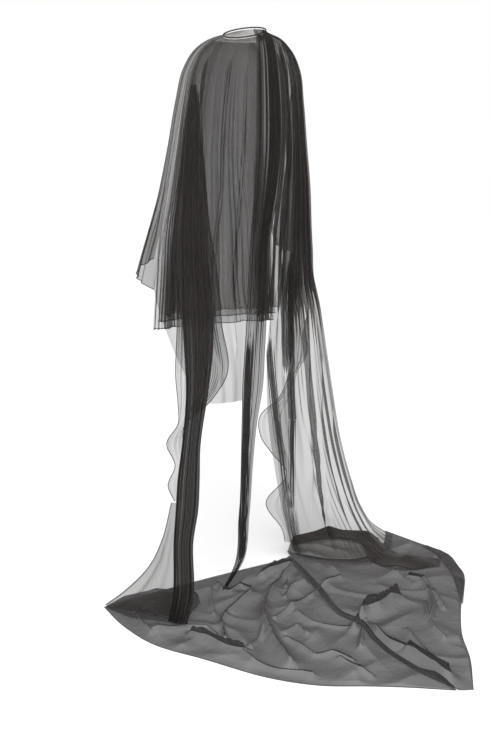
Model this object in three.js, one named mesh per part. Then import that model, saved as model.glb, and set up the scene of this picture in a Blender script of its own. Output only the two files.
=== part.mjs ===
// A sheer evening kaftan with a train, hanging as it is worn.
// Millimetres, +Z up. The wearer faces -Y, the wearer's left is +X, and the
// origin lies between the shoulders, where the wearer carries the garment.
import * as THREE from 'three';

// Driving sizes.
const SHOULDER_HEIGHT = 1440; // origin above the floor
const CLOTH = 1.4; // thickness of a cloth wall
const SEAM = 1; // each piece stops this far short of the seam line
const MITRE_LIMIT = 2; // longest mitre of a pleat's edge, in wall thicknesses
const PLEAT_SPREAD = 0.25; // unevenness of the pleats' spacing
const PLEAT_SIZES = 0.3; // unevenness of the pleats' depth

// The neckline is an ellipse that rises towards the back.
const NECK = { halfWidth: 57, halfDepth: 56, middle: 2, height: 1491, rise: 10 };
const BINDING = { radius: 3, lift: 5.5, steps: 40, sides: 6 };
const TAB = { width: 26, height: 14, thickness: 1.2, angle: 101, gap: 2.2, drop: 20 };

// The front's three layers lie one inside the other.
const LAYERS = [
  { name: 'front_outer', depth: 0, shorter: 0 },
  { name: 'front_middle', depth: 1, shorter: 24 },
  { name: 'front_under', depth: 2, shorter: 46 },
];
const LAYER_TAPER = 0.45; // how much narrower a layer is at each side, by its depth

// Every table below has one row for each section of a piece, from the top to
// the hem. A section runs anticlockwise, seen from above, from its near edge to
// its far edge. Heights are above the floor, bulge is how far the middle stands
// out, and fold is the depth of the pleats to each side.
const SECTION = ['height', 'x', 'y', 'farHeight', 'farX', 'farY', 'bulge', 'fold'];

const SLEEVE = table(SECTION,
  [1474, 84, -46, 1480, 101, 28, 14, 0.6],
  [1445, 116, -62, 1447, 148, 32, 22, 1],
  [1400, 136, -76, 1400, 182, 28, 24, 1.5],
  [1320, 150, -90, 1320, 202, 20, 24, 2],
  [1200, 165, -104, 1200, 222, 12, 26, 3],
  [1080, 184, -112, 1080, 244, 2, 32, 4],
  [960, 210, -114, 960, 274, -20, 38, 5],
  [930, 221, -113, 890, 287, -27, 42, 5],
  [903, 230, -112, 834, 296, -30, 46, 6]);

const FRONT_SECTION = ['leftHeight', 'rightHeight', 'left', 'right', 'y', 'bulge', 'step', 'fold'];
const FRONT = table(FRONT_SECTION,
  [1474, 1474, 84, 84, -46, 24, 6, 1],
  [1445, 1445, 116, 116, -62, 24, 7, 1.5],
  [1400, 1400, 136, 136, -76, 28, 8, 2],
  [1320, 1320, 150, 150, -90, 32, 10, 3],
  [1200, 1200, 165, 165, -104, 34, 12, 4],
  [1080, 1080, 184, 184, -112, 30, 13, 4.5],
  [960, 960, 210, 210, -114, 30, 14, 5],
  [860, 860, 217, 222, -119, 28, 15, 6],
  [760, 760, 219, 238, -130, 22, 15, 7],
  [700, 664, 217, 256, -140, 14, 15, 8]);

const BACK_LEFT = table(SECTION,
  [1480, 101, 28, 1478, 24, 73, 12, 0.5],
  [1447, 148, 32, 1445, 30, 83, 16, 1],
  [1400, 182, 28, 1400, 36, 90, 20, 1],
  [1320, 202, 20, 1320, 42, 96, 24, 1.5],
  [1200, 222, 12, 1200, 50, 102, 28, 2],
  [1080, 244, 2, 1080, 62, 106, 36, 3],
  [960, 274, -20, 960, 78, 110, 44, 4],
  [890, 287, -27, 860, 92, 117, 46, 4],
  [834, 296, -30, 760, 105, 125, 46, 4],
  [690, 302, 50, 660, 118, 130, 32, 4],
  [570, 288, 116, 560, 132, 136, 16, 4],
  [550, 287, 119, 534, 134, 137, 14, 4]);

const BACK_GATHER = table(SECTION,
  [1478, 24, 73, 1478, -42, 71, 2, 5],
  [1445, 30, 83, 1445, -46, 80, 3, 7],
  [1400, 36, 90, 1400, -50, 86, 3, 8],
  [1320, 42, 96, 1320, -54, 93, 3, 9],
  [1200, 50, 102, 1200, -52, 99, 3, 9],
  [1080, 62, 106, 1080, -30, 104, 3, 9],
  [960, 78, 110, 960, 2, 108, 2, 9],
  [860, 92, 117, 860, 12, 112, 2, 9],
  [760, 105, 125, 760, 24, 118, 1, 9],
  [660, 118, 130, 660, 36, 124, 0, 9],
  [560, 132, 136, 560, 50, 131, 0, 9],
  [460, 136, 139, 460, 79, 138, 0, 9],
  [360, 141, 140, 360, 94, 139, 0, 9],
  [200, 150, 141, 200, 110, 140, 0, 8],
  [70, 166, 142, 70, 134, 141, 0, 7],
  [8, 218, 146, 8, 190, 136, 0, 5]);

const BACK_RIGHT = table(SECTION,
  [1478, -42, 71, 1480, -101, 28, 12, 3],
  [1445, -46, 80, 1447, -148, 32, 14, 4],
  [1400, -50, 86, 1400, -182, 28, 16, 5],
  [1320, -54, 93, 1320, -202, 20, 17, 7],
  [1200, -54, 99, 1200, -222, 12, 18, 8],
  [1080, -36, 104, 1080, -244, 2, 24, 8],
  [960, -12, 108, 960, -274, -20, 30, 9],
  [860, -4, 111, 890, -287, -27, 34, 9],
  [780, 4, 113, 834, -296, -30, 36, 9],
  [700, 14, 114, 720, -326, -16, 36, 9],
  [640, 20, 115, 640, -330, 2, 36, 9],
  [460, 18, 117, 460, -340, 35, 42, 9],
  [300, -10, 118, 300, -355, 60, 52, 9],
  [180, -40, 116, 180, -375, 86, 66, 9],
  [90, -68, 115, 90, -394, 112, 92, 9],
  [34, -86, 116, 34, -412, 150, 118, 8],
  [8, -104, 118, 8, -429, 216, 136, 4]);

const FALL_LEFT_BAND = table(SECTION,
  [1360, 166, -22, 1360, 156, -14, 2, 3],
  [1260, 184, -15, 1260, 163, 5, 3, 6],
  [1180, 200, -9, 1180, 171, 20, 3, 7],
  [1080, 216, -3, 1080, 175, 36, 4, 7],
  [980, 227, 0, 980, 179, 46, 4, 7],
  [895, 231, 3, 895, 179, 53, 4, 7],
  [805, 238, 10, 805, 178, 67, 4, 8],
  [680, 256, 41, 680, 200, 95, 4, 9],
  [577, 277, 72, 577, 234, 114, 4, 9],
  [433, 330, 114, 433, 293, 147, 3, 10],
  [360, 357, 129, 360, 314, 168, 3, 10],
  [289, 380, 148, 289, 337, 188, 3, 10],
  [214, 398, 160, 214, 360, 195, 3, 10],
  [65, 427, 186, 65, 390, 225, 3, 10],
  [8, 438, 182, 8, 414, 230, 3, 9]);

const FALL_LEFT_HEM = table(SECTION,
  [1340, 150, -44, 1340, 136, -30, 2, 2],
  [1270, 170, -38, 1270, 145, -15, 3, 4],
  [1180, 192, -34, 1180, 150, 2, 3, 6],
  [1080, 207, -32, 1080, 152, 18, 4, 6],
  [980, 222, -33, 980, 152, 32, 5, 6],
  [895, 228, -30, 895, 144, 46, 5, 6],
  [800, 228, -22, 800, 140, 54, 5, 7],
  [737, 232, -16, 737, 142, 64, 5, 7],
  [594, 254, 2, 594, 152, 92, 4, 6],
  [520, 262, 20, 520, 206, 72, 3, 4],
  [475, 276, 36, 475, 262, 50, 1, 1],
  [433, 331, 54, 433, 300, 84, 2, 2],
  [385, 335, 93, 385, 320, 106, 0, 0],
  [335, 362, 96, 335, 338, 120, 1, 1],
  [300, 362, 122, 300, 354, 131, 0, 0]);

const GORE_LEFT = table(SECTION,
  [300, 374, 124, 300, 360, 138, 0, 0],
  [197, 396, 109, 197, 383, 154, 2, 1],
  [124, 417, 82, 124, 397, 167, 4, 2],
  [41, 470, 26, 41, 412, 176, 6, 4],
  [7, 504, -4, 7, 420, 172, 4, 4]);

const FALL_RIGHT = table(SECTION,
  [1360, -160, 26, 1360, -176, 22, 2, 1],
  [1300, -152, 20, 1300, -194, 10, 3, 2],
  [1200, -148, 22, 1200, -211, 4, 3, 3],
  [1080, -146, 22, 1080, -230, -5, 3, 4],
  [960, -140, 20, 960, -252, -24, 3, 5],
  [860, -136, 16, 860, -262, -32, 3, 6],
  [760, -144, 12, 760, -268, -34, 3, 5],
  [700, -166, 10, 700, -270, -22, 3, 5],
  [650, -186, 6, 640, -270, -14, 3, 4],
  [575, -183, 6, 575, -272, -8, 3, 4],
  [525, -176, 4, 525, -216, 2, 3, 3],
  [455, -150, -12, 455, -206, 4, 3, 5],
  [411, -103, -36, 411, -200, 8, 3, 6],
  [340, -103, -36, 340, -196, 14, 3, 6],
  [291, -128, -18, 291, -190, 20, 3, 5],
  [224, -164, 14, 224, -182, 30, 3, 2],
  [132, -110, -20, 132, -178, 34, 3, 5],
  [41, -146, 18, 41, -172, 40, 3, 3],
  [8, -150, 24, 8, -170, 44, 3, 2]);

// The train lies on the floor, so its sections run from side to side and back.
const TRAIN_SECTION = ['x', 'y', 'farX', 'farY', 'bulge'];
const TRAIN_LEFT = table(TRAIN_SECTION,
  [506, -8, -92, 112, -10],
  [532, 110, -50, 215, 0],
  [536, 240, -4, 318, 0],
  [490, 390, 56, 440, 0],
  [437, 555, 58, 520, 0],
  [374, 660, 100, 600, 0],
  [288, 745, 128, 680, 0],
  [230, 806, 142, 770, 0],
  [160, 888, 148, 872, 0]);
const TRAIN_RIGHT = table(TRAIN_SECTION,
  [-113, 69, -455, 167, 140],
  [-20, 240, -455, 300, 110],
  [22, 330, -455, 400, 50],
  [80, 455, -415, 470, 20],
  [80, 520, -361, 536, 10],
  [118, 600, -209, 635, 6],
  [146, 690, -68, 740, 0],
  [160, 780, 14, 822, 0],
  [156, 894, 130, 914, 0]);

// Soft ridges in the train: where each starts and ends, how wide and how high.
const RIDGES = table(['x', 'y', 'farX', 'farY', 'width', 'height'],
  [96, 233, 216, 318, 22, 12],
  [216, 318, 298, 413, 22, 14],
  [298, 413, 375, 550, 20, 9],
  [224, 148, 172, 213, 18, 8],
  [172, 213, 280, 258, 20, 12],
  [280, 258, 354, 289, 22, 8],
  [493, 195, 382, 262, 24, 7],
  [427, 314, 430, 430, 20, 8],
  [20, 130, 10, 250, 26, 10],
  [-10, 330, -110, 250, 24, 9],
  [46, 508, -90, 508, 24, 15],
  [46, 508, 119, 544, 20, 9],
  [72, 537, 102, 651, 22, 9],
  [102, 651, 112, 790, 18, 11],
  [-240, 458, -156, 585, 24, 11],
  [-156, 585, -63, 640, 22, 9],
  [-63, 640, -34, 740, 22, 8],
  [-300, 300, -350, 430, 26, 9],
  [200, 480, 250, 600, 24, 7],
  [60, 360, 150, 430, 24, 7]);
const RIDGE_MARGIN = 0.12; // share of a train half kept flat along each edge
const OVERLAP = { lift: 3.2, share: 0.35 }; // the right half lies on the left one

// How finely each piece is divided: columns across it, and steps from one section
// to the next. A sharp pleat takes two columns and a soft one takes four.
const FINE = {
  sleeve: { across: 12, steps: 1, sharp: false },
  front: { across: 20, steps: 1, sharp: false },
  backLeft: { across: 12, steps: 1, sharp: false },
  gather: { across: 22, steps: 1, sharp: true },
  backRight: { across: 24, steps: 1, sharp: true },
  band: { across: 14, steps: 1, sharp: true },
  hem: { across: 12, steps: 1, sharp: true },
  gore: { across: 6, steps: 2, sharp: true },
  fallRight: { across: 10, steps: 1, sharp: true },
  train: { across: 20, steps: 3 },
};

const COLOURS = { sheer: 0x2b2725, gathered: 0x151312, tab: 0x0c0b0b };

function table(columns, ...rows) {
  return rows.map((row) => Object.fromEntries(columns.map((name, i) => [name, row[i]])));
}

function mix(a, b, share) {
  return a + (b - a) * share;
}

function smooth(from, to, value) {
  const share = Math.min(Math.max((value - from) / (to - from), 0), 1);
  return share * share * (3 - 2 * share);
}

// A point of the neckline; the angle is 0 at the wearer's left and 90 at the back.
function neckPoint(degrees, lift = 0) {
  const angle = THREE.MathUtils.degToRad(degrees);
  return new THREE.Vector3(
    NECK.halfWidth * Math.cos(angle),
    NECK.middle + NECK.halfDepth * Math.sin(angle),
    NECK.height + NECK.rise * Math.sin(angle) + lift - SHOULDER_HEIGHT);
}

// A point of a section, a share of the way from its near edge to its far edge.
function sectionPoint(row, share) {
  const near = new THREE.Vector2(row.x, row.y);
  const far = new THREE.Vector2(row.farX, row.farY);
  const along = far.clone().sub(near);
  const inset = SEAM / along.length();
  const place = mix(inset, 1 - inset, share);
  const out = new THREE.Vector2(along.y, -along.x).normalize();
  const point = near.clone().addScaledVector(along, place);
  point.addScaledVector(out, row.bulge * 4 * share * (1 - share));
  const height = mix(row.height, row.farHeight, share);
  return new THREE.Vector3(point.x, point.y, height - SHOULDER_HEIGHT);
}

// Where the columns of a pleated piece stand: unevenly spaced, ends kept.
function columnShares(across) {
  return Array.from({ length: across + 1 }, (_, j) => {
    const shift = j === 0 || j === across ? 0 : PLEAT_SPREAD * Math.sin(2.3 * j);
    return (j + shift) / across;
  });
}

// One column of a piece: a smooth curve through its sections, from top to hem.
function column(sections, steps) {
  const curve = new THREE.CatmullRomCurve3(sections, false, 'centripetal');
  return curve.getPoints(steps * (sections.length - 1));
}

// A grid of points, grid[row][column], through the sections of a table.
// neck holds the neckline's angles at the two edges, where the piece starts there.
function baseGrid(rows, { across, steps }, neck) {
  const columns = columnShares(across).map((share) => {
    const sections = rows.map((row) => sectionPoint(row, share));
    if (neck) {
      sections.unshift(neckPoint(mix(neck[0], neck[1], mix(0.01, 0.99, share))));
    }
    return column(sections, steps);
  });
  return columns[0].map((_, i) => columns.map((points) => points[i]));
}

// The outward direction of a grid at each of its points.
function gridNormals(grid) {
  const lastRow = grid.length - 1;
  const lastColumn = grid[0].length - 1;
  return grid.map((line, i) => line.map((_, j) => {
    const along = line[Math.min(j + 1, lastColumn)].clone().sub(line[Math.max(j - 1, 0)]);
    const below = grid[Math.min(i + 1, lastRow)][j];
    const downwards = below.clone().sub(grid[Math.max(i - 1, 0)][j]);
    return downwards.cross(along).normalize();
  }));
}

// The depth of the pleats at each point: alternate columns stand out and in.
function pleatDepths(rows, { across, steps, sharp }, withNeck) {
  const pattern = sharp ? [-1, 1] : [0, 1, 0, -1];
  const depths = rows.map((row) => row.fold);
  if (withNeck) depths.unshift(depths[0] / 2);
  return Array.from({ length: steps * (depths.length - 1) + 1 }, (_, i) => {
    const above = Math.min(Math.floor(i / steps), depths.length - 2);
    const depth = mix(depths[above], depths[above + 1], i / steps - above);
    return Array.from({ length: across + 1 }, (_, j) => {
      if (j === 0 || j === across) return 0;
      const size = 1 - PLEAT_SIZES + PLEAT_SIZES * Math.sin(1.9 * j + 0.25 * i);
      return depth * size * pattern[j % pattern.length];
    });
  });
}

// A closed wall of cloth round a grid of points, moved out by the given depths.
function clothWall(grid, normals, depths) {
  const lines = grid.length;
  const perLine = grid[0].length;
  const points = grid.map((line, i) => line.map((point, j) =>
    point.clone().addScaledVector(normals[i][j], depths[i][j])));
  const folded = gridNormals(points);
  const positions = [];
  for (const side of [1, -1]) {
    for (let i = 0; i < lines; i += 1) {
      for (let j = 0; j < perLine; j += 1) {
        const slope = steepest(points, normals[i][j], i, j, folded[i][j]);
        const half = (side * CLOTH / 2) * Math.min(1 / slope, MITRE_LIMIT);
        const point = points[i][j].clone().addScaledVector(normals[i][j], half);
        positions.push(point.x, point.y, point.z);
      }
    }
  }
  const geometry = new THREE.BufferGeometry();
  geometry.setAttribute('position', new THREE.Float32BufferAttribute(positions, 3));
  geometry.setIndex(wallFaces(lines, perLine));
  return geometry;
}

// How far the cloth beside a column leans away from the wall's own direction.
function steepest(points, normal, i, j, folded) {
  const line = points[i];
  const beside = [line[j - 1], line[j + 1]].filter(Boolean);
  const leans = beside.map((other) => {
    const step = other.clone().sub(line[j]);
    const rise = step.dot(normal);
    return Math.sqrt(Math.max(1 - (rise * rise) / step.lengthSq(), 0.01));
  });
  const mean = leans.reduce((sum, lean) => sum + lean, 0) / leans.length;
  return Math.max(Math.min(mean, Math.abs(folded.dot(normal)) + 1), 0.3);
}

// The faces of a wall: outside, inside, and the rims round its four edges.
function wallFaces(lines, perLine) {
  const inside = lines * perLine;
  const at = (i, j) => i * perLine + j;
  const faces = [];
  const quad = (a, b, c, d) => faces.push(a, b, c, a, c, d);
  for (let i = 0; i < lines - 1; i += 1) {
    for (let j = 0; j < perLine - 1; j += 1) {
      quad(at(i, j), at(i + 1, j), at(i + 1, j + 1), at(i, j + 1));
      quad(inside + at(i, j), inside + at(i, j + 1),
        inside + at(i + 1, j + 1), inside + at(i + 1, j));
    }
  }
  const rim = [];
  for (let j = 0; j < perLine - 1; j += 1) rim.push(at(0, j));
  for (let i = 0; i < lines - 1; i += 1) rim.push(at(i, perLine - 1));
  for (let j = perLine - 1; j > 0; j -= 1) rim.push(at(lines - 1, j));
  for (let i = lines - 1; i > 0; i -= 1) rim.push(at(i, 0));
  rim.forEach((here, k) => {
    const next = rim[(k + 1) % rim.length];
    quad(here, next, inside + next, inside + here);
  });
  return faces;
}

function clothMesh(name, geometry, colour = COLOURS.sheer) {
  const material = new THREE.MeshStandardMaterial({ color: colour, roughness: 0.8, metalness: 0 });
  const mesh = new THREE.Mesh(geometry, material);
  mesh.name = name;
  return mesh;
}

// A hanging piece from its table of sections.
function hangingPiece(name, rows, fine, neck, colour) {
  const grid = baseGrid(rows, fine, neck);
  const depths = pleatDepths(rows, fine, Boolean(neck));
  return clothMesh(name, clothWall(grid, gridNormals(grid), depths), colour);
}

function mirrored(rows) {
  return rows.map((row) => ({
    ...row,
    height: row.farHeight,
    x: -row.farX,
    y: row.farY,
    farHeight: row.height,
    farX: -row.x,
    farY: row.y,
  }));
}

function sleeves() {
  const left = hangingPiece('sleeve_left', SLEEVE, FINE.sleeve, [-33, 19]);
  const right = hangingPiece('sleeve_right', mirrored(SLEEVE), FINE.sleeve, [161, 213]);
  return [left, right];
}

// One layer of the front: its sections are moved in and its hem is shorter.
function frontLayer({ name, depth, shorter }) {
  const rows = FRONT.map((row, i) => {
    const inward = depth * row.step;
    const narrower = inward * LAYER_TAPER;
    const lift = i === FRONT.length - 1 ? shorter : 0;
    return {
      height: row.rightHeight + lift,
      x: -row.right + narrower,
      y: row.y + inward,
      farHeight: row.leftHeight + lift,
      farX: row.left - narrower,
      farY: row.y + inward,
      bulge: row.bulge,
      fold: row.fold,
    };
  });
  const neck = depth ? null : [214, 326];
  return hangingPiece(name, rows, FINE.front, neck, COLOURS.gathered);
}

function backs() {
  return [
    hangingPiece('back_left', BACK_LEFT, FINE.backLeft, [20, 71]),
    hangingPiece('back_gather', BACK_GATHER, FINE.gather, [72, 130], COLOURS.gathered),
    hangingPiece('back_right', BACK_RIGHT, FINE.backRight, [131, 160]),
  ];
}

function falls() {
  return [
    hangingPiece('fall_left_band', FALL_LEFT_BAND, FINE.band, null, COLOURS.gathered),
    hangingPiece('fall_left_hem', FALL_LEFT_HEM, FINE.hem),
    hangingPiece('gore_left', GORE_LEFT, FINE.gore),
    hangingPiece('fall_right', FALL_RIGHT, FINE.fallRight),
  ];
}

// The height of the train's ridges at a point of the floor.
function ridgeHeight(point) {
  return RIDGES.reduce((height, ridge) => {
    const start = new THREE.Vector2(ridge.x, ridge.y);
    const along = new THREE.Vector2(ridge.farX, ridge.farY).sub(start);
    const from = new THREE.Vector2(point.x, point.y).sub(start);
    const share = Math.min(Math.max(from.dot(along) / along.lengthSq(), 0), 1);
    const away = from.addScaledVector(along, -share).length() / ridge.width;
    return Math.max(height, ridge.height * Math.exp(-away * away));
  }, 0);
}

// Half of the train: a flat wall on the floor, raised into soft ridges.
function trainHalf(name, rows, liftedEdge) {
  const { across } = FINE.train;
  const level = CLOTH / 2;
  const sections = rows.map((row) => ({ ...row, height: level, farHeight: level }));
  const grid = baseGrid(sections, FINE.train);
  const up = new THREE.Vector3(0, 0, 1);
  const normals = grid.map((line) => line.map(() => up));
  const depths = grid.map((line, i) => line.map((point, j) => {
    const along = i / (grid.length - 1);
    const edge = Math.min(j / across, 1 - j / across, along, 1 - along);
    const ridge = ridgeHeight(point) * smooth(0, RIDGE_MARGIN, edge - 0.04);
    const lift = liftedEdge ? OVERLAP.lift * (1 - smooth(0, 1, j / across / OVERLAP.share)) : 0;
    return Math.max(ridge, lift);
  }));
  return clothMesh(name, clothWall(grid, normals, depths));
}

// The rolled binding: a thin round ring just above the pieces' upper edges.
function neckBinding() {
  const points = Array.from({ length: BINDING.steps }, (_, i) =>
    neckPoint((360 * i) / BINDING.steps, BINDING.lift));
  const path = new THREE.CatmullRomCurve3(points, true);
  const ring = [];
  const faces = [];
  const frames = path.computeFrenetFrames(BINDING.steps, true);
  for (let i = 0; i < BINDING.steps; i += 1) {
    const centre = path.getPoint(i / BINDING.steps);
    for (let k = 0; k < BINDING.sides; k += 1) {
      const turn = (2 * Math.PI * k) / BINDING.sides;
      const out = new THREE.Vector3(centre.x, centre.y - NECK.middle, 0).normalize();
      const point = centre.clone().addScaledVector(out, BINDING.radius * Math.cos(turn));
      point.z += BINDING.radius * Math.sin(turn);
      ring.push(point.x, point.y, point.z);
      const here = i * BINDING.sides + k;
      const beside = i * BINDING.sides + ((k + 1) % BINDING.sides);
      const ahead = ((i + 1) % BINDING.steps) * BINDING.sides;
      faces.push(here, ahead + k, ahead + ((k + 1) % BINDING.sides));
      faces.push(here, ahead + ((k + 1) % BINDING.sides), beside);
    }
  }
  const geometry = new THREE.BufferGeometry();
  geometry.setAttribute('position', new THREE.Float32BufferAttribute(ring, 3));
  geometry.setIndex(faces);
  return clothMesh('neck_binding', geometry, COLOURS.gathered);
}

// The small tab hangs inside the back of the neck, clear of the gathers.
function neckTab() {
  const mesh = clothMesh('neck_tab',
    new THREE.BoxGeometry(TAB.width, TAB.thickness, TAB.height), COLOURS.tab);
  const place = neckPoint(TAB.angle, -TAB.drop);
  const inward = new THREE.Vector3(place.x, place.y - NECK.middle, 0).normalize();
  mesh.position.copy(place).addScaledVector(inward, -TAB.gap);
  mesh.rotation.z = THREE.MathUtils.degToRad(TAB.angle - 90);
  return mesh;
}

const kaftan = new THREE.Group();
kaftan.add(neckBinding(), neckTab());
kaftan.add(...LAYERS.map(frontLayer), ...sleeves(), ...backs(), ...falls());
kaftan.add(trainHalf('train_left', TRAIN_LEFT, false));
kaftan.add(trainHalf('train_right', TRAIN_RIGHT, true));

export default kaftan;
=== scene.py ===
import math

import bmesh
import bpy
import numpy as np
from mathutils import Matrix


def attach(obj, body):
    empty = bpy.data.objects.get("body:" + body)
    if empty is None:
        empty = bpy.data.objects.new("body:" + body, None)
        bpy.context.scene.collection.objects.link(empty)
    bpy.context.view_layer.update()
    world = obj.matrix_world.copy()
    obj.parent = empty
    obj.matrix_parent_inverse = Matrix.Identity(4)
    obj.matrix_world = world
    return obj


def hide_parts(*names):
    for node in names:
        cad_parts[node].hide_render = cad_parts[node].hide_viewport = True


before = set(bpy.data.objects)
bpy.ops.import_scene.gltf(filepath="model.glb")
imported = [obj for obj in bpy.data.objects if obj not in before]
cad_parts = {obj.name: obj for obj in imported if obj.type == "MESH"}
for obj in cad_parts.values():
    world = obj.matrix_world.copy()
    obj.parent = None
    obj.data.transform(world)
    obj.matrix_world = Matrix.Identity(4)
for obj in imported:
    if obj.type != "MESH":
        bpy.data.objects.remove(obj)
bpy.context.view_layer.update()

# ---------------------------------------------------------------------------
# The studio: a white room with a white floor, lit softly from all round, as a
# shop shows a dark sheer garment. The floor lies where the train rests.
FLOOR = -1.44  # below the shoulders
FLOOR_DROP = 0.0005  # keeps the floor clear of the cloth's underside
ROOM_WHITE = (1.0, 1.0, 1.0, 1.0)
FLOOR_WHITE = (0.97, 0.97, 0.97, 1.0)


def finished(name, settings):
    """A new material whose surface has the named settings."""
    material = bpy.data.materials.new(name)
    material.use_nodes = True
    surface = material.node_tree.nodes["Principled BSDF"]
    for setting, value in settings.items():
        surface.inputs[setting].default_value = value
    return material


scene = bpy.context.scene
scene.view_settings.view_transform = "Standard"
scene.world = bpy.data.worlds.new("white_room")
scene.world.use_nodes = True
scene.world.node_tree.nodes["Background"].inputs["Color"].default_value = ROOM_WHITE
scene.world.node_tree.nodes["Background"].inputs["Strength"].default_value = 1.0

floor_mesh = bpy.data.meshes.new("studio_floor")
floor_form = bmesh.new()
bmesh.ops.create_grid(floor_form, x_segments=2, y_segments=2, size=80.0)
bmesh.ops.translate(floor_form, verts=floor_form.verts, vec=(0.0, 0.0, FLOOR - FLOOR_DROP))
floor_form.to_mesh(floor_mesh)
floor_form.free()
studio_floor = bpy.data.objects.new("studio_floor", floor_mesh)
scene.collection.objects.link(studio_floor)
floor_mesh.materials.append(finished("white_floor", {
    "Base Color": FLOOR_WHITE,
    "Roughness": 1.0,
    "Specular IOR Level": 0.0,
    "Emission Color": ROOM_WHITE,
    "Emission Strength": 0.04,
}))

softbox = bpy.data.lights.new("softbox", "AREA")
softbox.shape = "RECTANGLE"
softbox.size, softbox.size_y = 2.4, 2.0
softbox.energy = 60.0
softbox_stand = bpy.data.objects.new("softbox", softbox)
softbox_stand.location = (1.2, 1.6, 1.9)
softbox_stand.rotation_euler = (math.radians(-38), math.radians(28), 0.0)
scene.collection.objects.link(softbox_stand)

VIEW_AZIMUTH = math.radians(137.0)
VIEW_TILT = math.radians(13.74)  # the camera looks down by this much
VIEW_DISTANCE = 2.95
VIEW_HEIGHT = 1.30  # above the floor
VIEW_ASIDE = 0.0028
camera = bpy.data.cameras.new("view")
camera.lens = 51.92
camera.sensor_width = 36.0
camera_stand = bpy.data.objects.new("view", camera)
camera_stand.location = (
    VIEW_DISTANCE * math.sin(VIEW_AZIMUTH) + VIEW_ASIDE * math.cos(VIEW_AZIMUTH),
    -VIEW_DISTANCE * math.cos(VIEW_AZIMUTH) + VIEW_ASIDE * math.sin(VIEW_AZIMUTH),
    FLOOR + VIEW_HEIGHT,
)
camera_stand.rotation_euler = (math.radians(90.0) - VIEW_TILT, 0.0, VIEW_AZIMUTH)
scene.collection.objects.link(camera_stand)
scene.camera = camera_stand

# ---------------------------------------------------------------------------
# Sleeves: black silk chiffon, woven so open that a single layer shows what lies
# behind it. They are cut in one with the body and as wide as the arm is long, so
# they hang from shoulder to wrist in one soft sweep, with a rolled edge at the cuff.
BLACK_SILK = (0.022, 0.018, 0.016)
HEM_BLACK = (0.02, 0.013, 0.011, 1.0)
HEM_RADIUS = 0.0011
HANGING_CRINKLE = (110.0, 110.0, 2.5)  # fine and upright, as the folds hang
PLEAT_WANDER = ((0.035, 9.0, 1.0), (0.012, 23.0, 2.0))  # how far, how often, and share of the seed
PLEAT_MEAN = 0.68  # size of an average pleat; the others differ by the rest of 1
PLEAT_EDGE = 30.0  # pleats reach full depth one part in so many from each edge


def arithmetic(nodes, operation, first=None, second=None):
    """A node that works out one step of a sum from fixed or linked numbers."""
    step = nodes.new("ShaderNodeMath")
    step.operation = operation
    if first is not None:
        step.inputs[0].default_value = first
    if second is not None:
        step.inputs[1].default_value = second
    return step


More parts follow.
